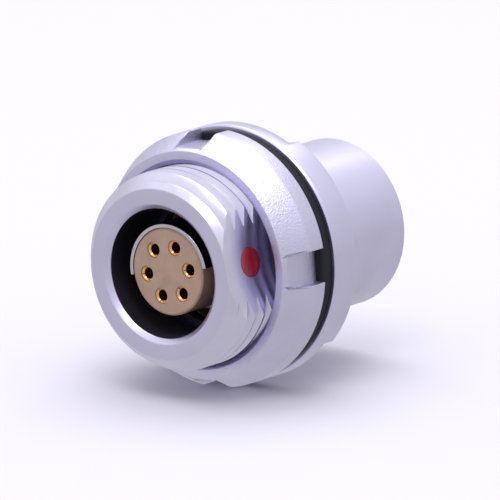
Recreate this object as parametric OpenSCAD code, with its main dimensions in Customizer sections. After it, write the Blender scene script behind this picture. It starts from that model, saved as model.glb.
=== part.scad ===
// Push-pull circular connector: a panel receptacle with six socket contacts.
// The mating face looks towards -Y and the wires leave towards +Y.
// The origin is on the axis, in the plane where the flange meets the panel.

/* [Threaded nose] */
// Diameter of the panel thread over its crests
thread_d = 14; // [13:0.1:16]
// Distance from the panel seat to the front face
nose_length = 8.15; // [7.5:0.05:12]
// Diameter of the flat ring of the front face
front_face_d = 12.1; // [11:0.1:12.9]
// Length of the lead-in chamfer at the front of the thread
front_chamfer_length = 0.95; // [0.5:0.05:1.5]
// Distance from the axis to the anti-rotation flat along the thread
flat_height = 5.9; // [5.6:0.05:6.4]
// Diameter of the relief groove between thread and flange
relief_d = 12.7; // [12.2:0.1:12.9]
// Width of the relief groove
relief_width = 0.9; // [0.5:0.1:1]

/* [Flange and barrel] */
// Diameter of the flange, and of the nut that clamps against it
flange_d = 18; // [17:0.1:20]
// Thickness of the flange
flange_thickness = 2.4; // [2:0.1:4]
// Bevel on the edges of the flange
flange_bevel = 0.13; // [0.05:0.01:0.3]
// Distance across the two wrench flats on the flange
across_flats = 14.6; // [14.1:0.1:16]
// Length of the wrench flats along the axis
wrench_flat_length = 1.15; // [0.8:0.05:1.6]
// Diameter of the barrel behind the flange
barrel_d = 11.9; // [11.4:0.1:13]
// Length of the barrel behind the flange
barrel_length = 9.5; // [9.3:0.1:16]
// Chamfer on the rear edge of the barrel
barrel_chamfer = 0.25; // [0.1:0.05:0.4]

/* [Bore] */
// Diameter of the bore that takes the plug
bore_d = 9.06; // [8.8:0.02:9.3]
// Diameter of the mouth of the bore at the front face
mouth_d = 9.68; // [9.5:0.02:10]
// Depth of the lead-in at the mouth
mouth_depth = 0.36; // [0.1:0.02:0.6]
// Diameter of the groove that the plug's latches spring into
latch_groove_d = 9.9; // [9.6:0.1:10.2]
// Width of the latch groove
latch_groove_width = 1.2; // [0.8:0.1:1.4]
// Depth from the front face to the latch groove
latch_groove_depth = 4.3; // [4:0.1:4.6]
// Diameter of the rear bore that takes the insert
rear_bore_d = 10.1; // [10:0.05:10.4]
// Height of the shoulder between the rear bore and the relief around the crown's fingers
shoulder_height = 0.25; // [0.2:0.01:0.29]
// Distance from the panel seat back to the shoulder that the insert sits on
seat_depth = 1.6; // [1.2:0.1:2]

/* [Nut and seal] */
// Diameter of the front face of the nut
nut_face_d = 15.9; // [15.4:0.1:16]
// Length of the nut
nut_length = 3.5; // [3:0.1:5]
// Length of the cone on the front of the nut
nut_cone_length = 2; // [1:0.1:2.5]
// Chamfer of the thread in the nut
nut_bore_chamfer = 0.3; // [0.1:0.05:0.5]
// Bevel on the rear edge of the nut
nut_bevel = 0.1; // [0.05:0.01:0.3]
// Number of spanner slots
nut_slots = 4; // [2:1:6]
// Width of a spanner slot
nut_slot_width = 2.35; // [1.5:0.05:3]
// Distance from the axis to the floor of a slot
nut_slot_floor = 8.1; // [8.05:0.05:8.4]
// Direction of the first slot, turned up from +X
nut_angle = 4.3; // [0:0.1:89]
// Radial clearance between the thread crests and the nut
nut_clearance = 0.05; // [0.02:0.01:0.1]
// Thickness of the panel seal
seal_thickness = 1.1; // [0.8:0.1:2]
// How far the edge of the panel seal stays inside the flange
seal_inset = 0.3; // [0.1:0.05:0.8]
// Radial clearance of the seal over the thread
seal_clearance = 0.05; // [0.02:0.01:0.2]

/* [Index mark] */
// Direction of the flat and its mark, turned up from +X
index_angle = 12; // [0:1:45]
// Diameter of the mark
dot_d = 2.1; // [1.6:0.1:2.4]
// Depth from the front face to the centre of the mark
dot_depth = 2.75; // [2.5:0.05:3]
// Depth of the recess that holds the mark
dot_recess = 0.45; // [0.2:0.05:0.6]
// Height of the crown of the mark above the flat
dot_crown = 0.08; // [0.02:0.01:0.15]

/* [Insert] */
// Diameter of the insulator's nose
insulator_d = 6.1; // [5.8:0.1:6.6]
// Depth from the front face to the face of the insulator
insulator_recess = 0.92; // [0.5:0.02:1.5]
// Chamfer on the front edge of the insulator
insulator_chamfer = 0.12; // [0.05:0.01:0.2]
// Diameter of the insulator's collar
insulator_collar_d = 7.8; // [7.4:0.1:8.2]
// Thickness of the insulator's collar
insulator_collar_thickness = 0.7; // [0.4:0.05:0.9]
// Wall of the two half sleeves around the nose
sleeve_wall = 0.27; // [0.2:0.01:0.35]
// How far the upper half sleeve stops short of the insulator's face
upper_sleeve_setback = 0.04; // [0.02:0.01:0.4]
// How far the lower half sleeve stops short of the insulator's face
lower_sleeve_setback = 4.2; // [3:0.1:6]
// Thickness of the half collars at the root of the sleeves
half_collar_thickness = 1.4; // [1.2:0.1:1.8]
// Gap between the two half sleeves where they meet
split_gap = 0.06; // [0.02:0.01:0.2]
// Clearance between the parts of the insert
insert_clearance = 0.03; // [0.01:0.01:0.05]
// Thickness of the rear insulator's disc
rear_disc_thickness = 1; // [0.6:0.1:1.4]
// Diameter of the rear insulator's boss
rear_boss_d = 6.6; // [6:0.1:7]
// Length of the rear insulator's boss
rear_boss_length = 1.4; // [0.8:0.1:2]
// Length of the retaining ring
ring_length = 1.7; // [1:0.1:2]
// Inner diameter of the retaining ring
ring_bore_d = 7.6; // [7.1:0.1:8]
// Width of the spanner slots in the retaining ring
ring_slot_width = 1.2; // [0.8:0.1:1.6]
// Depth of the spanner slots in the retaining ring
ring_slot_depth = 0.7; // [0.4:0.1:0.9]

/* [Earthing crown] */
// Thickness of the crown's base ring
crown_base_thickness = 0.3; // [0.2:0.05:0.5]
// Inner diameter of the crown's base ring
crown_base_bore_d = 8.6; // [8.4:0.1:8.8]
// Thickness of the crown's fingers
finger_thickness = 0.12; // [0.08:0.01:0.15]
// Length of the fingers
finger_length = 3.1; // [2:0.1:3.4]
// How far the tips of the fingers bulge towards the plug
finger_bulge = 0.16; // [0.05:0.01:0.25]
// Number of fingers
finger_count = 10; // [6:1:14]
// Share of the circle that the fingers take
finger_share = 0.72; // [0.5:0.01:0.85]

/* [Contacts] */
// Diameter of the circle through the contacts
contact_circle_d = 3.7; // [3.4:0.1:4]
// Outer diameter of a contact
contact_d = 1.04; // [0.9:0.02:1.1]
// Diameter of the socket that takes the plug's pin
socket_d = 0.72; // [0.5:0.02:0.8]
// Depth of the socket
socket_depth = 5; // [3:0.5:6]
// Width of the slot that lets the socket spring
socket_slot_width = 0.12; // [0.08:0.01:0.2]
// Length of the slot in the socket
socket_slot_length = 3; // [1.5:0.5:4]
// How far the contacts stand back from the insulator's face
contact_setback = 0.08; // [0.02:0.02:0.3]
// Diameter of the collar on a contact
contact_collar_d = 1.4; // [1.2:0.02:1.5]
// Thickness of the collar on a contact
contact_collar_thickness = 0.45; // [0.3:0.05:0.6]
// Diameter of the solder cup
cup_d = 1.16; // [1:0.02:1.2]
// Diameter of the hole in the solder cup
cup_bore_d = 0.86; // [0.6:0.02:0.9]
// Length of the hole in the solder cup
cup_depth = 1.6; // [1:0.1:2]
// How far the solder cups stand out of the rear insulator
cup_reach = 2; // [1.2:0.1:2.5]
// Clearance around a contact in its insulator
contact_clearance = 0.03; // [0.01:0.01:0.05]

/* [Hidden] */
$fn = 96;
contact_count = 6;
cut = 1;                 // how far a cutting tool runs past what it cuts

// Stations along the axis, measured forwards from the panel seat
front_z = nose_length;
rear_z = -flange_thickness - barrel_length;
seat_z = -seat_depth;
insulator_front_z = front_z - insulator_recess;
collar_front_z = seat_z - crown_base_thickness;
collar_rear_z = collar_front_z - half_collar_thickness;
disc_rear_z = collar_rear_z - rear_disc_thickness;
boss_rear_z = disc_rear_z - rear_boss_length;
ring_rear_z = disc_rear_z - ring_length;
cup_rear_z = boss_rear_z - cup_reach;
nut_rear_z = seal_thickness;
nut_front_z = nut_rear_z + nut_length;
dot_z = front_z - dot_depth;
finger_tip_z = seat_z + finger_length;
crown_relief_z = finger_tip_z + 0.4;

// Radii
thread_r = thread_d / 2;
flange_r = flange_d / 2;
nut_r = flange_r;
bore_r = bore_d / 2;
rear_bore_r = rear_bore_d / 2;
crown_relief_r = rear_bore_r - shoulder_height;
insulator_r = insulator_d / 2;
sleeve_bore_r = insulator_r + insert_clearance;
sleeve_r = sleeve_bore_r + sleeve_wall;
insert_r = rear_bore_r - insert_clearance;
collar_r = insulator_collar_d / 2;
hole_r = contact_d / 2 + contact_clearance;

// Stands a piece modelled up +Z on the connector's axis, with its front towards -Y.
module on_axis() {
    rotate([90, 0, 0]) children();
}

// Revolves an outline of [radius, height] points about +Z.
module turned(outline) {
    rotate_extrude() polygon(outline);
}

// A plain cylinder between two heights.
module bar(r, z_low, z_high) {
    translate([0, 0, z_low]) cylinder(r = r, h = z_high - z_low);
}

// A ring between two heights.
module ring(r_in, r_out, z_low, z_high) {
    turned([[r_in, z_low], [r_out, z_low], [r_out, z_high], [r_in, z_high]]);
}

// Everything further from the axis than distance, in the direction of +X.
module beyond(distance, z_low, z_high) {
    span = 2 * flange_d;
    translate([distance, -span / 2, z_low]) cube([span, span, z_high - z_low]);
}

// Puts a copy of a contact's shape at each contact.
module at_contacts() {
    for (i = [0 : contact_count - 1]) at_contact(i) children();
}

module at_contact(i) {
    rotate(index_angle + i * 360 / contact_count) translate([contact_circle_d / 2, 0, 0]) children();
}

// The turned outside of the shell: thread at crest size, relief, flange and barrel.
module shell_outside() {
    b = flange_bevel;
    turned([
        [0, rear_z],
        [barrel_d / 2 - barrel_chamfer, rear_z],
        [barrel_d / 2, rear_z + barrel_chamfer],
        [barrel_d / 2, -flange_thickness],
        [flange_r - b, -flange_thickness],
        [flange_r, b - flange_thickness],
        [flange_r, -b],
        [flange_r - b, 0],
        [relief_d / 2, 0],
        [relief_d / 2, relief_width],
        [thread_r, relief_width + (thread_d - relief_d) / 2],
        [thread_r, front_z - front_chamfer_length],
        [front_face_d / 2, front_z],
        [0, front_z]
    ]);
}

// The stepped bore through the shell, with its lead-in, latch groove and crown relief.
module shell_bore() {
    groove_z = front_z - latch_groove_depth;
    turned([
        [0, rear_z - cut],
        [rear_bore_r + barrel_chamfer, rear_z - cut],
        [rear_bore_r + barrel_chamfer, rear_z],
        [rear_bore_r, rear_z + barrel_chamfer],
        [rear_bore_r, seat_z],
        [crown_relief_r, seat_z],
        [crown_relief_r, crown_relief_z],
        [bore_r, crown_relief_z + crown_relief_r - bore_r],
        [bore_r, front_z - mouth_depth],
        [mouth_d / 2, front_z],
        [mouth_d / 2, front_z + cut],
        [0, front_z + cut]
    ]);
    turned([
        [0, groove_z - latch_groove_width],
        [latch_groove_d / 2, groove_z - latch_groove_width],
        [latch_groove_d / 2, groove_z],
        [bore_r, groove_z + (latch_groove_d - bore_d) / 2],
        [0, groove_z + (latch_groove_d - bore_d) / 2]
    ]);
}

module outer_shell() {
    color([0.74, 0.73, 0.80]) on_axis() difference() {
        shell_outside();
        shell_bore();
        rotate(index_angle) {
            beyond(flat_height, cut / 100, front_z + cut);
            translate([flat_height - dot_recess, 0, dot_z])
                rotate([0, 90, 0]) cylinder(d = dot_d, h = dot_recess + cut);
        }
        for (side = [-90, 90])
            rotate(index_angle + side)
                beyond(across_flats / 2, -flange_thickness - cut, wrench_flat_length - flange_thickness);
    }
}

module slotted_nut() {
    bore_r = thread_r + nut_clearance;
    c = nut_bore_chamfer;
    color([0.76, 0.75, 0.82]) on_axis() difference() {
        turned([
            [bore_r + c, nut_rear_z],
            [nut_r - nut_bevel, nut_rear_z],
            [nut_r, nut_rear_z + nut_bevel],
            [nut_r, nut_front_z - nut_cone_length],
            [nut_face_d / 2, nut_front_z],
            [bore_r + c, nut_front_z],
            [bore_r, nut_front_z - c],
            [bore_r, nut_rear_z + c]
        ]);
        for (i = [0 : nut_slots - 1])
            rotate(nut_angle + i * 360 / nut_slots) intersection() {
                beyond(nut_slot_floor, nut_rear_z - cut, nut_front_z + cut);
                translate([0, -nut_slot_width / 2, nut_rear_z - cut])
                    cube([2 * nut_r, nut_slot_width, nut_length + 2 * cut]);
            }
    }
}

module panel_seal() {
    round_r = seal_thickness / 4;
    r_in = thread_r + seal_clearance;
    r_out = flange_r - seal_inset;
    color([0.06, 0.06, 0.09]) on_axis() turned(concat(
        [[r_in, 0]],
        [for (a = [-90 : 15 : 0])
            [r_out - round_r + round_r * cos(a), round_r + round_r * sin(a)]],
        [for (a = [0 : 15 : 90])
            [r_out - round_r + round_r * cos(a), seal_thickness - round_r + round_r * sin(a)]],
        [[r_in, seal_thickness]]
    ));
}

module index_dot() {
    r = dot_d / 2;
    crown_r = (r * r + dot_crown * dot_crown) / (2 * dot_crown);
    color([0.62, 0.05, 0.10]) on_axis() rotate(index_angle)
        translate([flat_height - dot_recess, 0, dot_z]) rotate([0, 90, 0]) union() {
            cylinder(r = r, h = dot_recess);
            intersection() {
                translate([0, 0, dot_recess + dot_crown - crown_r]) sphere(r = crown_r);
                translate([0, 0, dot_recess]) cylinder(r = r, h = dot_crown + cut);
            }
        }
}

module front_insulator() {
    collar_z = collar_rear_z + insulator_collar_thickness;
    color([0.74, 0.62, 0.53]) on_axis() difference() {
        turned([
            [0, collar_rear_z],
            [collar_r, collar_rear_z],
            [collar_r, collar_z],
            [insulator_r, collar_z],
            [insulator_r, insulator_front_z - insulator_chamfer],
            [insulator_r - insulator_chamfer, insulator_front_z],
            [0, insulator_front_z]
        ]);
        at_contacts() {
            bar(hole_r, collar_rear_z - cut, insulator_front_z + cut);
            bar(contact_collar_d / 2 + contact_clearance, collar_rear_z - cut,
                collar_rear_z + contact_collar_thickness);
        }
    }
}

module rear_insulator() {
    color([0.70, 0.58, 0.49]) on_axis() difference() {
        union() {
            bar(insert_r, disc_rear_z, collar_rear_z);
            bar(rear_boss_d / 2, boss_rear_z, disc_rear_z);
        }
        at_contacts() bar(cup_d / 2 + contact_clearance, boss_rear_z - cut, collar_rear_z + cut);
    }
}

// One half of the split sleeve: a thin half tube that ends in a half collar.
module half_sleeve(setback) {
    pocket_z = collar_rear_z + insulator_collar_thickness + insert_clearance;
    intersection() {
        turned([
            [sleeve_bore_r, pocket_z],
            [collar_r + insert_clearance, pocket_z],
            [collar_r + insert_clearance, collar_rear_z],
            [insert_r, collar_rear_z],
            [insert_r, collar_front_z],
            [sleeve_r, collar_front_z],
            [sleeve_r, insulator_front_z - setback],
            [sleeve_bore_r, insulator_front_z - setback]
        ]);
        translate([-insert_r - cut, split_gap / 2, rear_z])
            cube([2 * (insert_r + cut), insert_r + cut, front_z - rear_z]);
    }
}

module upper_half_sleeve() {
    color([0.70, 0.69, 0.74]) on_axis() rotate(index_angle) half_sleeve(upper_sleeve_setback);
}

module lower_half_sleeve() {
    color([0.66, 0.65, 0.70]) on_axis() rotate(index_angle + 180) half_sleeve(lower_sleeve_setback);
}

// A spring finger: a thin strip along the bore whose tip bulges towards the plug.
module crown_finger(angle) {
    r_out = crown_relief_r - insert_clearance;
    r_in = r_out - finger_thickness;
    bulge_z = finger_tip_z - finger_length / 4;
    rotate(-angle / 2) rotate_extrude(angle = angle) polygon([
        [r_in, collar_front_z],
        [r_out, collar_front_z],
        [r_out, seat_z + finger_length / 3],
        [r_out - finger_bulge, bulge_z],
        [r_out - finger_bulge / 2, finger_tip_z],
        [r_in - finger_bulge / 2, finger_tip_z],
        [r_in - finger_bulge, bulge_z],
        [r_in, seat_z + finger_length / 3]
    ]);
}

module earthing_crown() {
    angle = 360 * finger_share / finger_count;
    color([0.72, 0.66, 0.52]) on_axis() union() {
        ring(crown_base_bore_d / 2, insert_r, collar_front_z, seat_z);
        for (i = [0 : finger_count - 1]) rotate(i * 360 / finger_count) crown_finger(angle);
    }
}

module retaining_ring() {
    color([0.72, 0.71, 0.77]) on_axis() difference() {
        ring(ring_bore_d / 2, insert_r, ring_rear_z, disc_rear_z);
        translate([-rear_bore_d, -ring_slot_width / 2, ring_rear_z - cut])
            cube([2 * rear_bore_d, ring_slot_width, ring_slot_depth + cut]);
    }
}

// A turned socket contact: slotted socket in front, collar, and a solder cup cut open on one side.
module contact(i) {
    tip_z = insulator_front_z - contact_setback;
    lead = (contact_d - socket_d) / 2 * 0.7;
    color([0.80, 0.56, 0.24]) on_axis() at_contact(i) difference() {
        union() {
            bar(contact_d / 2, collar_rear_z + contact_collar_thickness / 2, tip_z);
            bar(contact_collar_d / 2, collar_rear_z, collar_rear_z + contact_collar_thickness);
            bar(cup_d / 2, cup_rear_z, collar_rear_z + contact_collar_thickness / 2);
        }
        bar(socket_d / 2, tip_z - socket_depth, tip_z + cut);
        translate([0, 0, tip_z - lead]) cylinder(r1 = socket_d / 2, r2 = socket_d / 2 + lead, h = lead);
        translate([-contact_d, -socket_slot_width / 2, tip_z - socket_slot_length])
            cube([2 * contact_d, socket_slot_width, socket_slot_length + cut]);
        bar(cup_bore_d / 2, cup_rear_z - cut, cup_rear_z + cup_depth);
        translate([cup_bore_d / 4, -cup_d, cup_rear_z - cut]) cube([cup_d, 2 * cup_d, cup_depth / 2 + cut]);
    }
}

outer_shell();
slotted_nut();
panel_seal();
index_dot();
front_insulator();
rear_insulator();
upper_half_sleeve();
lower_half_sleeve();
earthing_crown();
retaining_ring();
contact(0);  // contact_1
contact(1);  // contact_2
contact(2);  // contact_3
contact(3);  // contact_4
contact(4);  // contact_5
contact(5);  // contact_6
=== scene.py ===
"""Looks of a push-pull circular receptacle: plated metal, rubber seal, insulator and gold contacts.

Every piece is modelled in millimetres, standing up +Z with the panel seat at height zero. It is then
seated on the connector's axis, so that its front looks towards -Y, and brought to metres.
"""

import logging
import math
from dataclasses import dataclass, field
from enum import Enum

import bmesh
import bpy
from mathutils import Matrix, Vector


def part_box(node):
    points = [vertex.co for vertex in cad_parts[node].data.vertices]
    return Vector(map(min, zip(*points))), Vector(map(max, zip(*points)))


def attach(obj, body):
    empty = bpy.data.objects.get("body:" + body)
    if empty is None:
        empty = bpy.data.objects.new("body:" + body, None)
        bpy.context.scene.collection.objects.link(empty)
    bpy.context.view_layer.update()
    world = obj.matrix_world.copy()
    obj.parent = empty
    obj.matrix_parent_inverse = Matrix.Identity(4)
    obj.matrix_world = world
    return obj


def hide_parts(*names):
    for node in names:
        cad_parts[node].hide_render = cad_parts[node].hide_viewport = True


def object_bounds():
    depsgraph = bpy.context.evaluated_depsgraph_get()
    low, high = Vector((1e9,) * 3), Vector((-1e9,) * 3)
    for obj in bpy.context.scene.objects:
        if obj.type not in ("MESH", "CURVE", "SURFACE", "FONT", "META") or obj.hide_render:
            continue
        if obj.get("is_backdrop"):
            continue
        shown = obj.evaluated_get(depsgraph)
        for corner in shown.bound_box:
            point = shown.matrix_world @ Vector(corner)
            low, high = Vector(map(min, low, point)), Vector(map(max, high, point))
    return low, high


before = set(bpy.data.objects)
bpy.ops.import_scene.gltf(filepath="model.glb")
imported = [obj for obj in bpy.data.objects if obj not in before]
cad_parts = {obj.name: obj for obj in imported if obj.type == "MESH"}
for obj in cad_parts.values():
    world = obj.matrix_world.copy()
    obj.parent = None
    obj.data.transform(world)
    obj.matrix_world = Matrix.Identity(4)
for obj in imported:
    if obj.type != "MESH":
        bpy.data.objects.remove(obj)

LOG = logging.getLogger("receptacle")
MM = 0.001

# Steps of one turn, from the widest pieces down to a contact.
STEPS, INSERT_STEPS, SMALL_STEPS, CONTACT_STEPS = 256, 128, 96, 48
# How far a cutting block reaches across the connector, out from its axis, and past the ends of what it cuts.
CUT_ACROSS, CUT_OUT, CUT_PAST = 12.0, 20.0, 1.0
# How near a point lies to a face that it counts as being on.
TOUCH = 1e-3
# Edges that bend more than the first angle can be eased, and those under the second are shaded smooth.
SHARP_ANGLE, SMOOTH_ANGLE = math.radians(25), math.radians(31)

Point = tuple[float, float]
Place = tuple[float, float, float]
Corner = tuple[float, float, float]
Colour = tuple[float, float, float]


class Body(Enum):
    """The two bodies that pieces ride on."""

    RECEPTACLE = "receptacle"
    NUT = "nut"


# ---------------------------------------------------------------- places read from the frame


@dataclass(frozen=True)
class Span:
    """The stretch of the axis that a node takes, and its widest radius, in millimetres.

    Attributes:
        rear: height of its rear end, measured forwards from the panel seat.
        front: height of its front end.
        radius: half of its widest width across the axis.
    """

    rear: float
    front: float
    radius: float

    @classmethod
    def of(cls, node: str) -> "Span":
        """Reads a node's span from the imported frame.

        Args:
            node: the node's name.

        Returns:
            The node's span along the connector's axis.
        """
        low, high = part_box(node)
        width = max(high.x - low.x, high.z - low.z)
        return cls(round(-high.y / MM, 3), round(-low.y / MM, 3), round(width / 2 / MM, 2))


def place_of(node: str) -> tuple[float, float, float]:
    """Finds where a node's middle lies around the axis.

    Args:
        node: the node's name.

    Returns:
        The distance from the axis in millimetres, the direction in degrees up from +X, and the height.
    """
    low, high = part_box(node)
    middle = (low + high) / 2
    away = math.hypot(middle.x, middle.z) / MM
    return away, math.degrees(math.atan2(middle.z, middle.x)), -middle.y / MM


# ---------------------------------------------------------------- the modelling bench


class Bench:
    """Operators that shape one mesh at a time, as by hand."""

    @staticmethod
    def pick(obj: bpy.types.Object) -> None:
        """Makes obj the one selected and active object."""
        bpy.ops.object.select_all(action="DESELECT")
        obj.select_set(True)
        bpy.context.view_layer.objects.active = obj

    @staticmethod
    def edit(select: str = "SELECT") -> None:
        """Opens the active mesh for editing, with everything selected or deselected."""
        bpy.ops.object.mode_set(mode="EDIT")
        bpy.ops.mesh.select_mode(type="VERT")
        bpy.ops.mesh.select_all(action=select)

    @staticmethod
    def close() -> None:
        """Leaves edit mode."""
        bpy.ops.object.mode_set(mode="OBJECT")

    @staticmethod
    def draw(name: str, outline: list[Point]) -> bpy.types.Object:
        """Draws a closed outline in the plane of X and Z by extruding one point round it.

        Args:
            name: the new object's name.
            outline: the outline's points as radius and height.

        Returns:
            A mesh of edges alone.
        """
        bpy.ops.mesh.primitive_plane_add(size=1.0)
        obj = bpy.context.active_object
        obj.name = name
        obj.data.name = name
        Bench.edit()
        bpy.ops.mesh.merge(type="CENTER")
        bpy.ops.transform.translate(value=(outline[0][0], 0.0, outline[0][1]))
        for here, there in zip(outline, outline[1:] + outline[:1]):
            step = (there[0] - here[0], 0.0, there[1] - here[1])
            bpy.ops.mesh.extrude_region_move(TRANSFORM_OT_translate={"value": step})
        bpy.ops.mesh.select_all(action="SELECT")
        bpy.ops.mesh.remove_doubles(threshold=1e-4)
        return obj

    @staticmethod
    def turn(name: str, outline: list[Point], steps: int = STEPS) -> bpy.types.Object:
        """Turns a closed outline round the axis into a solid.

        Args:
            name: the new object's name.
            outline: the outline's points as radius and height.
            steps: how many steps the turn takes.

        Returns:
            The turned solid.
        """
        obj = Bench.draw(name, outline)
        bpy.ops.mesh.spin(steps=steps, angle=math.tau, center=(0, 0, 0), axis=(0, 0, 1))
        bpy.ops.mesh.select_all(action="SELECT")
        bpy.ops.mesh.remove_doubles(threshold=1e-4)
        bpy.ops.mesh.dissolve_degenerate(threshold=1e-5)
        bpy.ops.mesh.select_all(action="SELECT")
        bpy.ops.mesh.normals_make_consistent(inside=False)
        Bench.close()
        return obj

    @staticmethod
    def coil(name: str, section: list[Point], start: float, turns: int, pitch: float) -> bpy.types.Object:
        """Winds a closed section along a right-handed helix, with its two ends capped.

        Args:
            name: the new object's name.
            section: the section's points as radius and height above the helix.
            start: the height at which the helix starts.
            turns: the number of whole turns.
            pitch: the feed of one turn.

        Returns:
            The wound solid.
        """
        obj = Bench.draw(name, [(r, z + start) for r, z in section])
        Bench.close()
        Bench.pick(obj)
        screw = obj.modifiers.new("winding", "SCREW")
        screw.angle = math.tau
        screw.screw_offset = pitch
        screw.iterations = turns
        screw.steps = STEPS
        screw.render_steps = STEPS
        screw.use_merge_vertices = False
        bpy.ops.object.modifier_apply(modifier=screw.name)
        middle = start + turns * pitch / 2
        for upper in (False, True):
            Bench.edit("DESELECT")
            mesh = bmesh.from_edit_mesh(obj.data)
            for edge in mesh.edges:
                if edge.is_boundary and (edge.verts[0].co.z > middle) == upper:
                    edge.select_set(True)
            bmesh.update_edit_mesh(obj.data)
            bpy.ops.mesh.edge_face_add()
            Bench.close()
        Bench.edit()
        bpy.ops.mesh.normals_make_consistent(inside=False)
        Bench.close()
        return obj

    @staticmethod
    def rod(radius: float, low: float, high: float, at: Point = (0.0, 0.0)) -> bpy.types.Object:
        """Adds a plain upright rod to cut with.

        Args:
            radius: the rod's radius.
            low: the height of its lower end.
            high: the height of its upper end.
            at: where it stands, as X and Y.

        Returns:
            The rod.
        """
        middle = (at[0], at[1], (low + high) / 2)
        bpy.ops.mesh.primitive_cylinder_add(
            vertices=SMALL_STEPS, radius=radius, depth=high - low, location=middle
        )
        rod = bpy.context.active_object
        bpy.ops.object.transform_apply()
        return rod

    @staticmethod
    def block(low: Place, high: Place, turned: float = 0.0) -> bpy.types.Object:
        """Adds a plain block to cut with.

        Args:
            low: its lowest corner.
            high: its highest corner.
            turned: how far it is then turned round the axis, in degrees.

        Returns:
            The block.
        """
        middle = [(a + b) / 2 for a, b in zip(low, high)]
        bpy.ops.mesh.primitive_cube_add(size=1.0, location=middle)
        block = bpy.context.active_object
        block.scale = [b - a for a, b in zip(low, high)]
        bpy.ops.object.transform_apply()
        block.rotation_euler = (0.0, 0.0, math.radians(turned))
        bpy.ops.object.transform_apply()
        return block

    @staticmethod
    def cut(body: bpy.types.Object, tools: list[bpy.types.Object], keep: bool = False) -> None:
        """Cuts tools out of a body, or keeps only what they share with it.

        Args:
            body: the solid that is cut.
            tools: the solids it is cut with, which are used up.
            keep: True to keep only the shared part.
        """
        for tool in tools:
            Bench.pick(body)
            cutter = body.modifiers.new("cut", "BOOLEAN")
            cutter.operation = "INTERSECT" if keep else "DIFFERENCE"
            cutter.solver = "EXACT"
            cutter.object = tool
            bpy.ops.object.modifier_apply(modifier=cutter.name)
            bpy.data.objects.remove(tool)

    @staticmethod
    def ease(body: bpy.types.Object, width: float, chosen) -> None:
        """Bevels the edges that chosen picks, by their place.

        Args:
            body: the solid whose edges are eased.
            width: the width of the bevel.
            chosen: a test of an edge's two ends, given as vectors.
        """
        Bench.pick(body)
        Bench.edit("DESELECT")
        bpy.ops.mesh.select_mode(type="EDGE")
        mesh = bmesh.from_edit_mesh(body.data)
        for edge in mesh.edges:
            bent = len(edge.link_faces) == 2 and edge.calc_face_angle(0.0) > SHARP_ANGLE
            edge.select_set(bent and chosen(edge.verts[0].co, edge.verts[1].co))
        bmesh.update_edit_mesh(body.data)
        bpy.ops.mesh.bevel(offset=width, segments=2, profile=0.5, clamp_overlap=True)
        Bench.close()

    @staticmethod
    def seat(body: bpy.types.Object, direction: float = 0.0) -> None:
        """Lays an upright piece on the connector's axis and brings it to metres.

        Args:
            body: the piece.
            direction: where its own +X ends up, in degrees up from the connector's +X.
        """
        Bench.pick(body)
        body.rotation_euler = (math.pi / 2, -math.radians(direction), 0.0)
        body.scale = (MM, MM, MM)
        bpy.ops.object.transform_apply()
        bpy.ops.object.shade_smooth_by_angle(angle=SMOOTH_ANGLE)
        even = body.modifiers.new("even_shading", "WEIGHTED_NORMAL")
        even.mode = "FACE_AREA"
        even.weight = 100
        even.keep_sharp = True
        bpy.ops.object.modifier_apply(modifier=even.name)

    @staticmethod
    def twin(body: bpy.types.Object, name: str) -> bpy.types.Object:
        """Copies a piece with a mesh of its own."""
        copy = body.copy()
        copy.data = body.data.copy()
        copy.name = name
        copy.data.name = name
        bpy.context.scene.collection.objects.link(copy)
        return copy


def eased(outline: list[Corner], parts: int = 3) -> list[Point]:
    """Rounds the corners of an outline.

    Args:
        outline: the corners as radius, height and how far the rounding reaches along each side.
        parts: how many pieces each rounded corner takes.

    Returns:
        The outline's points as radius and height.
    """
    points: list[Point] = []
    count = len(outline)
    for i, (r, z, reach) in enumerate(outline):
        corner = Vector((r, z))
        if reach == 0:
            points.append((r, z))
            continue
        before = Vector(outline[i - 1][:2]) - corner
        after = Vector(outline[(i + 1) % count][:2]) - corner
        start = corner + before.normalized() * min(reach, before.length / 2)
        end = corner + after.normalized() * min(reach, after.length / 2)
        for k in range(parts + 1):
            t = k / parts
            point = start * (1 - t) ** 2 + corner * 2 * t * (1 - t) + end * t**2
            points.append((point.x, point.y))
    return points


# ---------------------------------------------------------------- finishes


class NodeSheet:
    """A node tree that is laid out from left to right."""

    def __init__(self, tree: bpy.types.NodeTree) -> None:
        """Starts with an empty tree."""
        self.tree = tree
        self.tree.nodes.clear()
        self.column = 0

    def add(self, kind: str, **settings: object) -> bpy.types.Node:
        """Adds a node.

        Args:
            kind: the node's type without its "ShaderNode" prefix, or its whole name.
            settings: properties of the node.

        Returns:
            The node.
        """
        whole = kind if kind.startswith("Node") else "ShaderNode" + kind
        node = self.tree.nodes.new(whole)
        node.location = (self.column * 200, 0)
        self.column += 1
        for name, value in settings.items():
            setattr(node, name, value)
        return node

    def wire(self, source: bpy.types.NodeSocket, target: bpy.types.NodeSocket) -> None:
        """Links two sockets."""
        self.tree.links.new(source, target)

    @staticmethod
    def dial(node: bpy.types.Node, values: dict[str, object]) -> None:
        """Sets the values of a node's inputs by their names."""
        for name, value in values.items():
            node.inputs[name].default_value = value

    def maths(self, operation: str, first: object, second: object) -> bpy.types.NodeSocket:
        """Adds a Math node on two sockets or numbers.

        Args:
            operation: the Math node's operation.
            first: its first input.
            second: its second input.

        Returns:
            The node's output.
        """
        node = self.add("Math", operation=operation)
        for socket, value in zip(node.inputs, (first, second)):
            if isinstance(value, (int, float)):
                socket.default_value = value
            else:
                self.wire(value, socket)
        return node.outputs[0]


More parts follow.
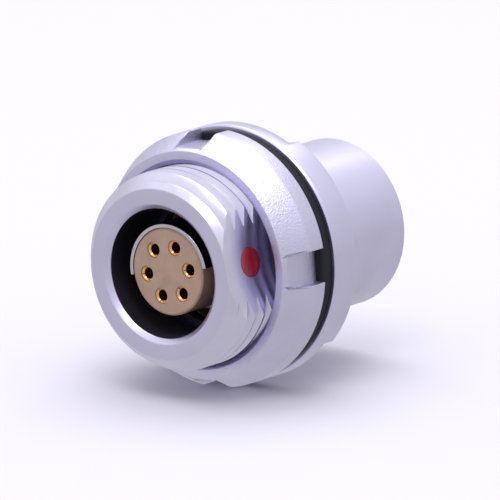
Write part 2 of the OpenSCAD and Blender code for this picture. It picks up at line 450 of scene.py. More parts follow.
class Effect:
    """Shader node groups that several finishes use, each built once."""

    made: dict[str, bpy.types.NodeTree] = {}

    @classmethod
    def group(cls, name: str, inputs: dict[str, float], outputs: dict[str, str]) -> bpy.types.NodeTree:
        """Makes an empty group with its sockets.

        Args:
            name: the group's name.
            inputs: the names of its number inputs with their usual values.
            outputs: the names of its outputs with their socket types.

        Returns:
            The group.
        """
        tree = bpy.data.node_groups.new(name, "ShaderNodeTree")
        for socket, value in inputs.items():
            made = tree.interface.new_socket(socket, in_out="INPUT", socket_type="NodeSocketFloat")
            made.default_value = value
        for socket, kind in outputs.items():
            tree.interface.new_socket(socket, in_out="OUTPUT", socket_type=kind)
        cls.made[name] = tree
        return tree

    @classmethod
    def blasted_grain(cls) -> bpy.types.NodeTree:
        """The fine even grain of blasted and plated metal, as a height and a mask.

        Returns:
            The group, with its grain's size in millimetres as an input.
        """
        if "blasted grain" in cls.made:
            return cls.made["blasted grain"]
        tree = cls.group(
            "blasted grain", {"Grain": 0.06}, {"Height": "NodeSocketFloat", "Mask": "NodeSocketFloat"}
        )
        sheet = NodeSheet(tree)
        given = sheet.add("NodeGroupInput")
        place = sheet.add("TexCoord")
        scale = sheet.maths("DIVIDE", 1 / MM, given.outputs["Grain"])
        fine = sheet.add("TexNoise", noise_dimensions="3D")
        sheet.dial(fine, {"Detail": 2.0, "Roughness": 0.6})
        sheet.wire(place.outputs["Object"], fine.inputs["Vector"])
        sheet.wire(scale, fine.inputs["Scale"])
        pits = sheet.add("TexVoronoi", feature="F1")
        sheet.wire(place.outputs["Object"], pits.inputs["Vector"])
        sheet.wire(sheet.maths("MULTIPLY", scale, 0.55), pits.inputs["Scale"])
        dimples = sheet.maths("MULTIPLY", pits.outputs["Distance"], 0.35)
        height = sheet.maths("ADD", fine.outputs["Fac"], dimples)
        out = sheet.add("NodeGroupOutput")
        sheet.wire(height, out.inputs["Height"])
        sheet.wire(fine.outputs["Fac"], out.inputs["Mask"])
        return tree

    @classmethod
    def turning_lines(cls) -> bpy.types.NodeTree:
        """The fine rings that a lathe leaves on faces and round sides, as a height and a mask.

        Returns:
            The group, with the width of a line in millimetres as an input.
        """
        if "turning lines" in cls.made:
            return cls.made["turning lines"]
        tree = cls.group(
            "turning lines", {"Line": 0.05}, {"Height": "NodeSocketFloat", "Mask": "NodeSocketFloat"}
        )
        sheet = NodeSheet(tree)
        given = sheet.add("NodeGroupInput")
        place = sheet.add("TexCoord")
        parts = sheet.add("SeparateXYZ")
        sheet.wire(place.outputs["Object"], parts.inputs[0])
        across = sheet.add("CombineXYZ")
        sheet.wire(parts.outputs["X"], across.inputs["X"])
        sheet.wire(parts.outputs["Z"], across.inputs["Y"])
        away = sheet.add("VectorMath", operation="LENGTH")
        sheet.wire(across.outputs[0], away.inputs[0])
        along = sheet.maths("ADD", parts.outputs["Y"], away.outputs["Value"])
        rings = sheet.maths("DIVIDE", sheet.maths("DIVIDE", along, MM), given.outputs["Line"])
        noise = sheet.add("TexNoise", noise_dimensions="1D")
        sheet.dial(noise, {"Scale": 1.0, "Detail": 3.0})
        sheet.wire(rings, noise.inputs["W"])
        out = sheet.add("NodeGroupOutput")
        sheet.wire(noise.outputs["Fac"], out.inputs["Height"])
        sheet.wire(noise.outputs["Fac"], out.inputs["Mask"])
        return tree

    @classmethod
    def handled_clouds(cls) -> bpy.types.NodeTree:
        """Soft uneven patches, as plating and moulding have, as a mask from 0 to 1.

        Returns:
            The group, with the size of a patch in millimetres as an input.
        """
        if "handled clouds" in cls.made:
            return cls.made["handled clouds"]
        tree = cls.group("handled clouds", {"Patch": 3.0}, {"Mask": "NodeSocketFloat"})
        sheet = NodeSheet(tree)
        given = sheet.add("NodeGroupInput")
        place = sheet.add("TexCoord")
        noise = sheet.add("TexNoise", noise_dimensions="3D")
        sheet.dial(noise, {"Detail": 4.0, "Distortion": 0.4})
        sheet.wire(place.outputs["Object"], noise.inputs["Vector"])
        sheet.wire(sheet.maths("DIVIDE", 1 / MM, given.outputs["Patch"]), noise.inputs["Scale"])
        spread = sheet.add("MapRange")
        sheet.dial(spread, {"From Min": 0.3, "From Max": 0.7})
        sheet.wire(noise.outputs["Fac"], spread.inputs["Value"])
        out = sheet.add("NodeGroupOutput")
        sheet.wire(spread.outputs["Result"], out.inputs["Mask"])
        return tree


@dataclass(frozen=True)
class Finish:
    """A surface finish, made from the shared effects.

    Attributes:
        name: the material's name.
        colour: its base colour.
        patch_colour: the colour its soft patches lean to.
        metallic: 1 for metal and 0 for the rest.
        rough: its middle roughness.
        rough_swing: how far patches and grain move the roughness.
        grain: the size of the grain in millimetres.
        grain_depth: the strength of the grain's bump.
        line: the width of a turning line in millimetres.
        line_depth: the strength of the lines' bump.
        patch: the size of a soft patch in millimetres.
        specular: the specular level of what isn't metal.
        coat: the weight of a clear coat.
    """

    name: str
    colour: Colour
    patch_colour: Colour
    metallic: float = 1.0
    rough: float = 0.35
    rough_swing: float = 0.08
    grain: float = 0.07
    grain_depth: float = 0.10
    line: float = 0.05
    line_depth: float = 0.05
    patch: float = 3.0
    specular: float = 0.5
    coat: float = 0.0

    def material(self) -> bpy.types.Material:
        """Builds the material, or gives the one that is there.

        Returns:
            The material of this finish.
        """
        if self.name in bpy.data.materials:
            return bpy.data.materials[self.name]
        made = bpy.data.materials.new(self.name)
        made.use_nodes = True
        sheet = NodeSheet(made.node_tree)
        grain = sheet.add("Group", node_tree=Effect.blasted_grain())
        sheet.dial(grain, {"Grain": self.grain})
        lines = sheet.add("Group", node_tree=Effect.turning_lines())
        sheet.dial(lines, {"Line": self.line})
        clouds = sheet.add("Group", node_tree=Effect.handled_clouds())
        sheet.dial(clouds, {"Patch": self.patch})
        tint = sheet.add("Mix", data_type="RGBA")
        sheet.dial(tint, {"A": (*self.colour, 1.0), "B": (*self.patch_colour, 1.0)})
        sheet.wire(clouds.outputs["Mask"], tint.inputs["Factor"])
        swing = sheet.add("MapRange")
        sheet.dial(swing, {"To Min": self.rough - self.rough_swing, "To Max": self.rough + self.rough_swing})
        both = sheet.maths("ADD", grain.outputs["Mask"], clouds.outputs["Mask"])
        sheet.wire(sheet.maths("MULTIPLY", both, 0.5), swing.inputs["Value"])
        rings = sheet.add("Bump")
        sheet.dial(rings, {"Strength": self.line_depth, "Distance": self.line * MM})
        sheet.wire(lines.outputs["Height"], rings.inputs["Height"])
        pits = sheet.add("Bump")
        sheet.dial(pits, {"Strength": self.grain_depth, "Distance": self.grain * MM})
        sheet.wire(grain.outputs["Height"], pits.inputs["Height"])
        sheet.wire(rings.outputs["Normal"], pits.inputs["Normal"])
        shader = sheet.add("BsdfPrincipled")
        sheet.dial(shader, {
            "Metallic": self.metallic, "Specular IOR Level": self.specular, "Coat Weight": self.coat,
        })
        sheet.wire(tint.outputs["Result"], shader.inputs["Base Color"])
        sheet.wire(swing.outputs["Result"], shader.inputs["Roughness"])
        sheet.wire(pits.outputs["Normal"], shader.inputs["Normal"])
        out = sheet.add("OutputMaterial")
        sheet.wire(shader.outputs["BSDF"], out.inputs["Surface"])
        return made


SATIN_PLATE = Finish(
    "satin_plate", (0.67, 0.65, 0.85), (0.63, 0.61, 0.80), rough=0.34, line=0.09, line_depth=0.10
)
NUT_PLATE = Finish(
    "nut_plate", (0.67, 0.65, 0.85), (0.62, 0.60, 0.79), rough=0.33, grain=0.10, grain_depth=0.42,
    line_depth=0.02
)
THREAD_PLATE = Finish("thread_plate", (0.72, 0.70, 0.88), (0.66, 0.64, 0.80), rough=0.22, grain_depth=0.05)
# Painted shade: a dark, rough plating colour that stands in for the deep shade inside the bore.
BORE_PAINTED_SHADE = Finish("bore_painted_shade", (0.15, 0.14, 0.19), (0.12, 0.11, 0.155), rough=0.45, grain_depth=0.02)
SLEEVE_PLATE = Finish("sleeve_plate", (0.62, 0.60, 0.66), (0.54, 0.53, 0.60), rough=0.18, grain_depth=0.03)
BRONZE = Finish("crown_bronze", (0.50, 0.42, 0.28), (0.44, 0.36, 0.22), rough=0.25, grain_depth=0.05)
GOLD = Finish(
    "contact_gold", (0.90, 0.50, 0.20), (0.80, 0.42, 0.14), rough=0.13, rough_swing=0.05, grain_depth=0.03
)
RUBBER = Finish(
    "seal_rubber", (0.006, 0.006, 0.011), (0.010, 0.010, 0.018), metallic=0.0, rough=0.6, grain_depth=0.15,
    line_depth=0.0, specular=0.25
)
INSULATOR = Finish(
    "insulator_tan", (0.40, 0.268, 0.192), (0.34, 0.225, 0.158), metallic=0.0, rough=0.42, grain=0.05,
    grain_depth=0.06, line_depth=0.02, patch=1.4
)
ENAMEL = Finish(
    "index_enamel", (0.26, 0.004, 0.013), (0.20, 0.003, 0.010), metallic=0.0, rough=0.2, grain_depth=0.02,
    line_depth=0.0, patch=0.6, coat=0.6
)


# ---------------------------------------------------------------- sub-assemblies


class SubAssembly:
    """Pieces that are built, dressed and handed over together."""

    def hand_over(
        self, piece: bpy.types.Object, body: Body, nodes: list[str], slot: str, finishes: list[Finish]
    ) -> None:
        """Gives a finished piece its materials and its place in the frame.

        Args:
            piece: the finished piece.
            body: the body that it rides on.
            nodes: the nodes that it stands for.
            slot: the name of a material slot; not used.
            finishes: its materials, in the order of their face index.
        """
        for finish in finishes:
            piece.data.materials.append(finish.material())
        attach(piece, body.value)
        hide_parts(*nodes)
        LOG.info("%s: %d faces, rides on %s", piece.name, len(piece.data.polygons), body.value)

    @staticmethod
    def paint(piece: bpy.types.Object, index: int, chosen) -> None:
        """Gives a material index to the faces that chosen picks.

        Args:
            piece: a seated piece.
            index: the material index.
            chosen: a test of a face's distance from the axis and its height, in millimetres.
        """
        for face in piece.data.polygons:
            x, y, z = face.center / MM
            if chosen(math.hypot(x, z), -y):
                face.material_index = index


@dataclass
class Shell(SubAssembly):
    """The turned shell: threaded nose, flange, barrel and stepped bore."""

    span: Span = field(default_factory=lambda: Span.of("outer_shell"))
    thread_r: float = 7.0
    root_r: float = 6.39
    pitch: float = 1.0
    crest: float = 0.14
    root_land: float = 0.05
    cutter_rim: float = 0.02
    cutter_height: float = 0.3
    lead_in: float = 0.47
    face_r: float = 5.96
    chamfer: float = 1.14
    relief_r: float = 6.35
    relief: float = 0.9
    flat: float = 5.9
    flat_rear: float = 0.01
    drill_length: float = 3.0
    flange: float = 2.4
    bevel: float = 0.13
    across_flats: float = 14.0
    flat_length: float = 1.15
    flat_ease: float = 0.05
    mill_past: float = 0.6
    barrel_r: float = 5.95
    barrel_chamfer: float = 0.08
    bore_r: float = 4.53
    mouth_r: float = 4.9
    mouth: float = 0.36
    groove_r: float = 4.95
    groove: float = 1.2
    groove_depth: float = 4.3
    crown_r: float = 4.8
    crown_top: float = 1.9
    rear_bore_r: float = 5.05
    seat: float = -1.6
    paint_aside: float = 0.1
    paint_short: float = 0.02

    def outline(self) -> list[Point]:
        """The shell's section, from the rear edge of the barrel round to its rear bore."""
        front, rear = self.span.front, self.span.rear
        groove_z = front - self.groove_depth
        c = self.barrel_chamfer
        return eased([
            (self.barrel_r - c, rear, 0.04),
            (self.barrel_r, rear + c, 0.06),
            (self.barrel_r, -self.flange, 0.08),
            (self.span.radius - self.bevel, -self.flange, 0.03),
            (self.span.radius, self.bevel - self.flange, 0.03),
            (self.span.radius, -self.bevel, 0.03),
            (self.span.radius - self.bevel, 0.0, 0.03),
            (self.relief_r, 0.0, 0.05),
            (self.relief_r, self.relief, 0.05),
            (self.thread_r, self.relief + self.thread_r - self.relief_r, 0.0),
            (self.thread_r, front - self.chamfer, 0.05),
            (self.face_r, front, 0.07),
            (self.mouth_r, front, 0.06),
            (self.bore_r, front - self.mouth, 0.05),
            (self.bore_r, groove_z + self.groove_r - self.bore_r, 0.0),
            (self.groove_r, groove_z, 0.0),
            (self.groove_r, groove_z - self.groove, 0.0),
            (self.bore_r, groove_z - self.groove, 0.02),
            (self.bore_r, self.crown_top + self.crown_r - self.bore_r, 0.0),
            (self.crown_r, self.crown_top, 0.0),
            (self.crown_r, self.seat, 0.0),
            (self.rear_bore_r, self.seat, 0.0),
            (self.rear_bore_r, rear + c, 0.04),
            (self.rear_bore_r + c, rear, 0.04),
        ])

    def build(self, index: float, dot_r: float, dot_z: float, recess: float) -> None:
        """Turns, mills and threads the shell.

        Args:
            index: the direction of the index mark, in degrees.
            dot_r: the radius of the mark.
            dot_z: the height of the mark's centre.
            recess: the depth of the mark's recess.
        """
        shell = Bench.turn("shell_turned", self.outline())
        half, front = self.across_flats / 2, self.span.front
        flat_z = self.flat_length - self.flange
        low, high = (half, -CUT_ACROSS, -self.flange - self.mill_past), (CUT_OUT, CUT_ACROSS, flat_z)
        Bench.cut(shell, [Bench.block(low, high, 90.0), Bench.block(low, high, -90.0)])
        Bench.ease(
            shell, self.flat_ease, lambda a, b: self.on_wrench_flat(a, flat_z) and self.on_wrench_flat(b, flat_z)
        )
        Bench.cut(shell, [self.thread_cutter()])
        Bench.cut(shell, [
            Bench.block((self.flat, -CUT_ACROSS, self.flat_rear), (CUT_OUT, CUT_ACROSS, front + CUT_PAST))
        ])
        drill = Bench.rod(dot_r, 0.0, self.drill_length)
        drill.rotation_euler = (0.0, math.pi / 2, 0.0)
        drill.location = (self.flat - recess, 0.0, dot_z)
        Bench.pick(drill)
        bpy.ops.object.transform_apply()
        Bench.cut(shell, [drill])
        Bench.seat(shell, index)
        outside, rim = self.face_r - self.paint_aside, front - self.paint_short
        inside, mouth = self.groove_r + self.paint_aside, front - self.mouth + self.paint_short
        self.paint(shell, 1, lambda r, h: r > outside and self.relief < h < rim)
        # The bore behind the mouth takes the painted-shade finish, made dark where the bore lies in shade.
        self.paint(shell, 2, lambda r, h: r < inside and h < mouth)
        finishes = [SATIN_PLATE, THREAD_PLATE, BORE_PAINTED_SHADE]
        self.hand_over(shell, Body.RECEPTACLE, ["outer_shell"], "satin_shell", finishes)

    def thread_cutter(self) -> bpy.types.Object:
        """Winds the panel thread's cutter, whose sides run on a little past the crests.

        Returns:
            The cutter.
        """
        groove = self.pitch - self.crest
        slope = (groove - 2 * self.root_land) / 2 / (self.thread_r - self.root_r)
        wide = groove / 2 + slope * self.cutter_rim
        rim, top = self.thread_r + self.cutter_rim, self.thread_r + self.cutter_height
        section = [
            (self.root_r, -self.root_land), (rim, -wide), (top, -wide),
            (top, wide), (rim, wide), (self.root_r, self.root_land),
        ]
        turns = math.ceil((self.span.front - self.relief) / self.pitch)
        return Bench.coil("thread_cutter", section, self.relief - self.lead_in, turns, self.pitch)

    def on_wrench_flat(self, point: Vector, flat_z: float) -> bool:
        """Tells whether a point lies on the rim of a milled wrench flat."""
        on_side = abs(abs(point.y) - self.across_flats / 2) < TOUCH and point.z < flat_z + TOUCH
        on_step = abs(point.z - flat_z) < TOUCH and abs(point.y) > self.across_flats / 2 - TOUCH
        return on_side or on_step


@dataclass
class Nut(SubAssembly):
    """The slotted ring nut."""

    span: Span = field(default_factory=lambda: Span.of("slotted_nut"))
    bore_r: float = 7.05
    face_r: float = 7.95
    cone: float = 2.0
    bore_chamfer: float = 0.3
    bevel: float = 0.1
    slots: int = 4
    slot_width: float = 2.35
    slot_floor: float = 8.1
    slot_ease: float = 0.05
    direction: float = 4.3
    pitch: float = 1.0
    root_r: float = 7.28
    root_land: float = 0.04
    groove_rim_r: float = 7.04
    half_groove: float = 0.3
    cutter_r: float = 6.8
    run_in: float = 0.6

    def outline(self) -> list[Point]:
        """The nut's section."""
        front, rear, c = self.span.front, self.span.rear, self.bore_chamfer
        return eased([
            (self.bore_r + c, rear, 0.03),
            (self.span.radius - self.bevel, rear, 0.03),
            (self.span.radius, rear + self.bevel, 0.03),
            (self.span.radius, front - self.cone, 0.10),
            (self.face_r, front, 0.06),
            (self.bore_r + c, front, 0.04),
            (self.bore_r, front - c, 0.04),
            (self.bore_r, rear + c, 0.04),
        ])

    def build(self) -> None:
        """Turns the nut, mills its slots and cuts its thread."""
        nut = Bench.turn("nut_turned", self.outline())
        front, rear = self.span.front, self.span.rear
        half = self.slot_width / 2
        low = (self.slot_floor, -half, rear - CUT_PAST)
        high = (self.span.radius + 2 * CUT_PAST, half, front + CUT_PAST)
        for i in range(self.slots):
            Bench.cut(nut, [Bench.block(low, high, i * 360 / self.slots)])
        Bench.ease(nut, self.slot_ease, lambda a, b: self.on_slot(a) and self.on_slot(b))
        root, land, rim, wide = self.root_r, self.root_land, self.groove_rim_r, self.half_groove
        section = [
            (root, -land), (rim, -wide), (self.cutter_r, -wide),
            (self.cutter_r, wide), (rim, wide), (root, land),
        ]
        turns = math.ceil((front - rear) / self.pitch) + 1
        Bench.cut(nut, [Bench.coil("nut_thread_cutter", section, rear - self.run_in, turns, self.pitch)])
        Bench.seat(nut, self.direction)
        self.hand_over(nut, Body.NUT, ["slotted_nut"], "satin_nut", [NUT_PLATE])

    def on_slot(self, point: Vector) -> bool:
        """Tells whether a point lies on the wall or floor of a slot."""
        half = self.slot_width / 2
        near = min(abs(abs(point.x) - half), abs(abs(point.y) - half))
        floor = min(abs(abs(point.x) - self.slot_floor), abs(abs(point.y) - self.slot_floor))
        inside = min(abs(point.x), abs(point.y)) < half + TOUCH
        outside = point.xy.length > self.slot_floor - 10 * TOUCH
        return (near < TOUCH or floor < TOUCH) and inside and outside


@dataclass
class Seal(SubAssembly):
    """The rubber panel seal."""

    span: Span = field(default_factory=lambda: Span.of("panel_seal"))
    inner_r: float = 7.05

    def build(self) -> None:
        """Turns the seal with a soft outer edge."""
        low, high, out = self.span.rear, self.span.front, self.span.radius
        seal = Bench.turn("seal_ring", eased([
            (self.inner_r, low, 0.05), (out, low, 0.28), (out, high, 0.28), (self.inner_r, high, 0.05),
        ], parts=6))
        Bench.seat(seal)
        self.hand_over(seal, Body.RECEPTACLE, ["panel_seal"], "black_rubber", [RUBBER])


@dataclass
class IndexMark(SubAssembly):
    """The red index mark in the flat."""

    radius: float = field(init=False)
    direction: float = field(init=False)
    height: float = field(init=False)
    recess: float = 0.45
    play: float = 0.01
    edge: float = 0.02
    crown: float = 0.08
    crown_steps: int = 10

    def __post_init__(self) -> None:
        """Reads the mark's direction, height and radius from the frame."""
        low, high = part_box("index_dot")
        self.radius = round((high.y - low.y) / 2 / MM, 3)
        _, self.direction, self.height = place_of("index_dot")

    def build(self, flat: float) -> None:
        """Turns the mark with a low crown and lays it in the flat.

        Args:
            flat: the distance from the axis to the flat.
        """
        r, low = self.radius - self.play, -self.recess + self.play
        angles = [k * math.pi / (2 * self.crown_steps) for k in range(1, self.crown_steps)]
        crown = [(r * math.cos(angle), self.crown * math.sin(angle)) for angle in angles]
        outline = [(0.0, low), (r, low), (r, -self.edge), *crown, (0.0, self.crown)]
        mark = Bench.turn("index_mark", outline, SMALL_STEPS)
        mark.rotation_euler = (0.0, math.pi / 2, 0.0)
        mark.location = (flat, 0.0, self.height)
        Bench.pick(mark)
        bpy.ops.object.transform_apply()
        Bench.seat(mark, self.direction)
        self.hand_over(mark, Body.RECEPTACLE, ["index_dot"], "red_mark", [ENAMEL])


@dataclass
class Insert(SubAssembly):
    """The insulators, half sleeves, earthing crown and retaining ring inside the shell."""

    front: Span = field(default_factory=lambda: Span.of("front_insulator"))
    rear: Span = field(default_factory=lambda: Span.of("rear_insulator"))
    upper: Span = field(default_factory=lambda: Span.of("upper_half_sleeve"))
    lower: Span = field(default_factory=lambda: Span.of("lower_half_sleeve"))
    crown: Span = field(default_factory=lambda: Span.of("earthing_crown"))
    ring: Span = field(default_factory=lambda: Span.of("retaining_ring"))
    nose_r: float = 3.05
    chamfer: float = 0.12
    collar: float = 0.7
    hole_r: float = 0.55
    hole_ease: float = 0.035
    wall: float = 0.27
    clearance: float = 0.03
    disc: float = 1.0
    boss_r: float = 3.3
    cup_hole_r: float = 0.61
    ring_bore_r: float = 3.8
    ring_slot: float = 1.2
    ring_slot_depth: float = 0.7
    crown_r: float = 4.77
    finger: float = 0.12
    bulge: float = 0.16
    base: float = 0.3
    base_bore_r: float = 4.3
    fingers: int = 10
    finger_gap: float = 0.28
    saw_reach: float = 6.0

    def build(self, circle_r: float, index: float, count: int) -> None:
        """Builds each piece of the insert.

        Args:
            circle_r: the radius of the circle through the contacts.
            index: the direction of the first contact, in degrees.
            count: how many contacts there are.
        """
        angles = [i * math.tau / count for i in range(count)]
        spots = [(circle_r * math.cos(angle), circle_r * math.sin(angle)) for angle in angles]
        self.build_front(spots, index)
        self.build_rear(spots, index)
        self.build_sleeve("sleeve_upper", "upper_half_sleeve", self.upper, index, True)
        self.build_sleeve("sleeve_lower", "lower_half_sleeve", self.lower, index, False)
        self.build_crown(index)
        self.build_ring()

    def build_front(self, spots: list[Point], index: float) -> None:
        """Turns the tan nose and drills it.

        Args:
            spots: where the contacts stand.
            index: the direction of the first contact, in degrees.
        """
        low, top, c = self.front.rear, self.front.front, self.chamfer
        nose = Bench.turn("insulator_nose", eased([
            (0.0, low, 0.0), (self.front.radius, low, 0.04), (self.front.radius, low + self.collar, 0.04),
            (self.nose_r, low + self.collar, 0.02), (self.nose_r, top - c, 0.03), (self.nose_r - c, top, 0.04),
            (0.0, top, 0.0),
        ]), INSERT_STEPS)
        Bench.cut(nose, [Bench.rod(self.hole_r, low - CUT_PAST, top + CUT_PAST, spot) for spot in spots])
        Bench.ease(
            nose, self.hole_ease, lambda a, b: self.on_rim(a, spots, top) and self.on_rim(b, spots, top)
        )
        Bench.seat(nose, index)
        self.hand_over(nose, Body.RECEPTACLE, ["front_insulator"], "tan_insulator", [INSULATOR])

    def on_rim(self, point: Vector, spots: list[Point], height: float) -> bool:
        """Tells whether a point lies on the rim of a contact's hole."""
        if abs(point.z - height) > TOUCH:
            return False
        return any(abs(math.dist(point.xy, spot) - self.hole_r) < 5 * TOUCH for spot in spots)

    def build_rear(self, spots: list[Point], index: float) -> None:
        """Turns the rear insulator and drills it.

        Args:
            spots: where the contacts stand.
            index: the direction of the first contact, in degrees.
        """
        low, top, step = self.rear.rear, self.rear.front, self.rear.front - self.disc
        body = Bench.turn("insulator_rear", eased([
            (0.0, low, 0.0), (self.boss_r, low, 0.1), (self.boss_r, step, 0.03),
            (self.rear.radius, step, 0.04), (self.rear.radius, top, 0.04), (0.0, top, 0.0),
        ]), INSERT_STEPS)
        Bench.cut(body, [Bench.rod(self.cup_hole_r, low - CUT_PAST, top + CUT_PAST, spot) for spot in spots])
        Bench.seat(body, index)
        self.hand_over(body, Body.RECEPTACLE, ["rear_insulator"], "tan_insulator", [INSULATOR])

    def build_sleeve(self, name: str, node: str, span: Span, index: float, upper: bool) -> None:
        """Turns a sleeve with its collar and keeps one half of it.

        Args:
            name: the piece's name.
            node: the node that it stands for.
            span: the node's span.
            index: the direction of the split, in degrees.
            upper: True for the upper half.
        """
        inner = self.nose_r + self.clearance
        outer = inner + self.wall
        pocket = self.front.rear + self.collar + self.clearance
        pocket_r = self.front.radius + self.clearance
        top, collar_top, collar_r = span.front, self.crown.rear, self.rear.radius
        sleeve = Bench.turn(name, eased([
            (inner, pocket, 0.0), (pocket_r, pocket, 0.0), (pocket_r, span.rear, 0.0),
            (collar_r, span.rear, 0.05), (collar_r, collar_top, 0.05), (outer, collar_top, 0.03),
            (outer, top, 0.06), (inner, top, 0.04),
        ]))
        side = 1 if upper else -1
        low_y, high_y = sorted((side * self.clearance, side * CUT_ACROSS))
        half = Bench.block((-CUT_ACROSS, low_y, span.rear - CUT_PAST), (CUT_ACROSS, high_y, top + CUT_PAST))
        Bench.cut(sleeve, [half], keep=True)
        Bench.seat(sleeve, index)
        self.hand_over(sleeve, Body.RECEPTACLE, [node], "sleeve_metal", [SLEEVE_PLATE])

    def build_crown(self, index: float) -> None:
        """Turns the earthing crown and saws it into fingers.

        Args:
            index: the direction of the first saw cut, in degrees.
        """
        low, top = self.crown.rear, self.crown.front
        out, thin, bulge = self.crown_r, self.finger, self.bulge
        base_top = low + self.base
        third, near_tip = base_top + (top - base_top) / 3, top - (top - base_top) / 4
        crown = Bench.turn("crown_fingers", eased([
            (self.base_bore_r, low, 0.0), (self.crown.radius, low, 0.0), (self.crown.radius, base_top, 0.0),
            (out, base_top, 0.03), (out, third, 0.3), (out - bulge, near_tip, 0.3),
            (out - bulge / 2, top, 0.02), (out - thin - bulge / 2, top, 0.02),
            (out - thin - bulge, near_tip, 0.3), (out - thin, third, 0.3), (out - thin, base_top, 0.03),
            (self.base_bore_r, base_top, 0.0),
        ]))
        half = self.finger_gap / 2
        for i in range(self.fingers // 2):
            Bench.cut(crown, [Bench.block(
                (-self.saw_reach, -half, base_top), (self.saw_reach, half, top + CUT_PAST), i * 360 / self.fingers
            )])
        Bench.seat(crown, index)
        self.hand_over(crown, Body.RECEPTACLE, ["earthing_crown"], "crown_bronze", [BRONZE])

    def build_ring(self) -> None:
        """Turns the retaining ring and mills its spanner slots."""
        low, top = self.ring.rear, self.ring.front
        ring = Bench.turn("ring_retaining", eased([
            (self.ring_bore_r, low, 0.1), (self.ring.radius, low, 0.12), (self.ring.radius, top, 0.04),
            (self.ring_bore_r, top, 0.04),
        ]))
        half = self.ring_slot / 2
        Bench.cut(ring, [Bench.block(
            (-CUT_ACROSS, -half, low - CUT_PAST), (CUT_ACROSS, half, low + self.ring_slot_depth)
        )])
        Bench.seat(ring)
        self.hand_over(ring, Body.RECEPTACLE, ["retaining_ring"], "satin_shell", [SATIN_PLATE])


@dataclass
class Contacts(SubAssembly):
    """The turned socket contacts, modelled once and copied round the circle."""

    count: int = 6
    radius: float = 0.52
    socket_r: float = 0.36
    socket: float = 5.0
    drill_tip: float = 0.2
    lead: float = 0.12
    collar_r: float = 0.70
    collar: float = 0.45
    cup_r: float = 0.58
    cup_bore_r: float = 0.43
    cup: float = 1.6
    saw: float = 0.05
    saw_length: float = 3.0
    saw_reach: float = 1.0

    def build(self, collar_rear: float) -> None:
        """Turns one contact, saws and opens it, and copies it to each place.

        Args:
            collar_rear: the height of the rear face of the contacts' collars.
        """
        nodes = [f"contact_{i + 1}" for i in range(self.count)]
        span = Span.of(nodes[0])
        low, top = span.rear, span.front
        collar_top = collar_rear + self.collar
        model = Bench.turn("contact_model", eased([
            (0.0, low + self.cup, 0.0), (self.cup_bore_r, low + self.cup, 0.0), (self.cup_bore_r, low, 0.03),
            (self.cup_r, low, 0.03), (self.cup_r, collar_rear, 0.0), (self.collar_r, collar_rear, 0.03),
            (self.collar_r, collar_top, 0.03), (self.radius, collar_top, 0.0), (self.radius, top, 0.03),
            (self.socket_r + self.lead, top, 0.02), (self.socket_r, top - self.lead, 0.04),
            (self.socket_r, top - self.socket, 0.0), (0.0, top - self.socket - self.drill_tip, 0.0),
        ]), CONTACT_STEPS)
        half, reach = self.saw / 2, self.saw_reach
        Bench.cut(model, [
            Bench.block((-reach, -half, top - self.saw_length), (reach, half, top + CUT_PAST)),
            Bench.block((self.cup_bore_r / 2, -reach, low - CUT_PAST), (reach, reach, low + self.cup / 2)),
        ])
        for node in nodes:
            away, direction, _ = place_of(node)
            contact = Bench.twin(model, node.replace("contact_", "socket_contact_"))
            contact.location = (away, 0.0, 0.0)
            Bench.pick(contact)
            bpy.ops.object.transform_apply()
            Bench.seat(contact, direction)
            self.hand_over(contact, Body.RECEPTACLE, [node], "gold_contact", [GOLD])
        bpy.data.objects.remove(model)


# ---------------------------------------------------------------- studio


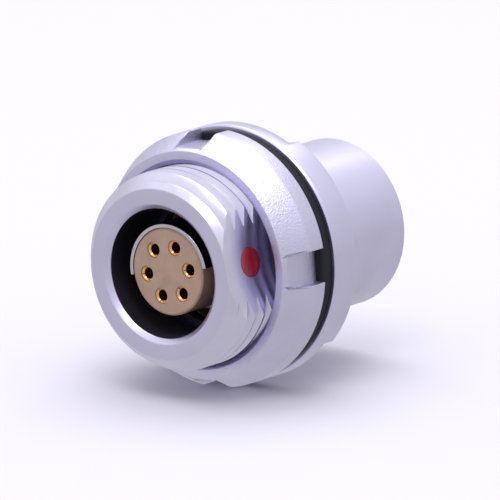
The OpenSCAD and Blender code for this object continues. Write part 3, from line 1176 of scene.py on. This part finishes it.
@dataclass
class Studio:
    """The camera, the pale floor and the soft lamps."""

    azimuth: float = 38.05
    elevation: float = 13.57
    distance: float = 0.5382
    aim: Place = (0.00465, -0.00402, 0.00164)
    lens: float = 566.8
    white: Colour = (1.0, 0.985, 1.0)

    def shoot_from(self) -> None:
        """Places the camera."""
        camera = bpy.data.objects.new("camera", bpy.data.cameras.new("camera"))
        bpy.context.scene.collection.objects.link(camera)
        a, e = math.radians(self.azimuth), math.radians(self.elevation)
        back = Vector((math.sin(a) * math.cos(e), -math.cos(a) * math.cos(e), math.sin(e)))
        camera.location = Vector(self.aim) + back * self.distance
        camera.rotation_mode = "QUATERNION"
        camera.rotation_quaternion = back.to_track_quat("Z", "Y")
        camera.data.lens = self.lens
        camera.data.sensor_width = 36.0
        camera.data.clip_start = 0.01
        camera.data.clip_end = 20.0
        bpy.context.scene.camera = camera

    def lamp(self, name: str, place: Place, size: float, watts: float) -> None:
        """Adds a soft square lamp that looks at the connector.

        Args:
            name: the lamp's name.
            place: where it hangs, in metres.
            size: the length of its side, in metres.
            watts: its power.
        """
        data = bpy.data.lights.new(name, "AREA")
        data.shape = "SQUARE"
        data.size = size
        data.energy = watts
        data.color = self.white
        lamp = bpy.data.objects.new(name, data)
        bpy.context.scene.collection.objects.link(lamp)
        lamp.location = place
        lamp.rotation_mode = "QUATERNION"
        lamp.rotation_quaternion = Vector(place).to_track_quat("Z", "Y")

    def light(self) -> None:
        """Hangs the lamps and sets the world: a sky that is brighter overhead, and plain white to the eye."""
        self.lamp("lamp_front", (0.10, -0.16, 0.34), size=0.16, watts=0.30)
        self.lamp("lamp_back", (-0.08, 0.11, 0.38), size=0.36, watts=0.80)
        world = bpy.data.worlds.new("world")
        bpy.context.scene.world = world
        world.use_nodes = True
        sheet = NodeSheet(world.node_tree)
        ray = sheet.add("LightPath")
        place = sheet.add("TexCoord")
        parts = sheet.add("SeparateXYZ")
        sheet.wire(place.outputs["Generated"], parts.inputs[0])
        rise = sheet.add("MapRange", interpolation_type="SMOOTHSTEP")
        sheet.dial(rise, {"From Min": 0.18, "From Max": 0.80, "To Min": 0.76, "To Max": 1.12})
        sheet.wire(parts.outputs["Z"], rise.inputs["Value"])
        soft = sheet.add("Background")
        sheet.dial(soft, {"Color": (0.98, 0.975, 1.0, 1.0)})
        sheet.wire(rise.outputs["Result"], soft.inputs["Strength"])
        seen = sheet.add("Background")
        sheet.dial(seen, {"Color": (1.0, 1.0, 1.0, 1.0), "Strength": 1.0})
        mix = sheet.add("MixShader")
        out = sheet.add("OutputWorld")
        sheet.wire(ray.outputs["Is Camera Ray"], mix.inputs["Fac"])
        sheet.wire(soft.outputs[0], mix.inputs[1])
        sheet.wire(seen.outputs[0], mix.inputs[2])
        sheet.wire(mix.outputs[0], out.inputs["Surface"])

    def lay_floor(self, height: float) -> None:
        """Lays the pale floor, which shines evenly in the metal's reflections.

        Args:
            height: the height of the lowest point of the connector, in metres.
        """
        bpy.ops.mesh.primitive_plane_add(size=6.0, location=(0.0, 0.0, height))
        floor = bpy.context.active_object
        floor.name = "floor"
        material = bpy.data.materials.new("pale_floor")
        material.use_nodes = True
        sheet = NodeSheet(material.node_tree)
        ray = sheet.add("LightPath")
        matt = sheet.add("BsdfDiffuse")
        sheet.dial(matt, {"Color": (0.66, 0.645, 0.73, 1.0)})
        glow = sheet.add("Emission")
        sheet.dial(glow, {"Color": (*self.white, 1.0), "Strength": 0.66})
        mix = sheet.add("MixShader")
        out = sheet.add("OutputMaterial")
        sheet.wire(ray.outputs["Is Glossy Ray"], mix.inputs["Fac"])
        sheet.wire(matt.outputs[0], mix.inputs[1])
        sheet.wire(glow.outputs[0], mix.inputs[2])
        sheet.wire(mix.outputs[0], out.inputs["Surface"])
        floor.data.materials.append(material)
        floor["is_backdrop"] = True


def corners(box: tuple[Vector, Vector]) -> list[list[float]]:
    """Turns a box into plain lists of numbers."""
    return [list(corner) for corner in box]


def main() -> None:
    """Builds the receptacle piece by piece, then the studio round it."""
    logging.basicConfig(level=logging.INFO, format="%(name)s: %(message)s")
    bpy.ops.object.select_all(action="DESELECT")
    cad_box = corners(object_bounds())
    bpy.context.scene.view_settings.view_transform = "Standard"
    studio = Studio()
    studio.shoot_from()
    shell, mark, insert = Shell(), IndexMark(), Insert()
    circle_r, index, _ = place_of("contact_1")
    shell.build(mark.direction, mark.radius, mark.height, mark.recess)
    Nut().build()
    Seal().build()
    mark.build(shell.flat)
    contacts = Contacts()
    insert.build(circle_r, index, contacts.count)
    contacts.build(insert.front.rear)
    studio.light()
    studio.lay_floor(cad_box[0][2])


if __name__ == "__main__":
    main()
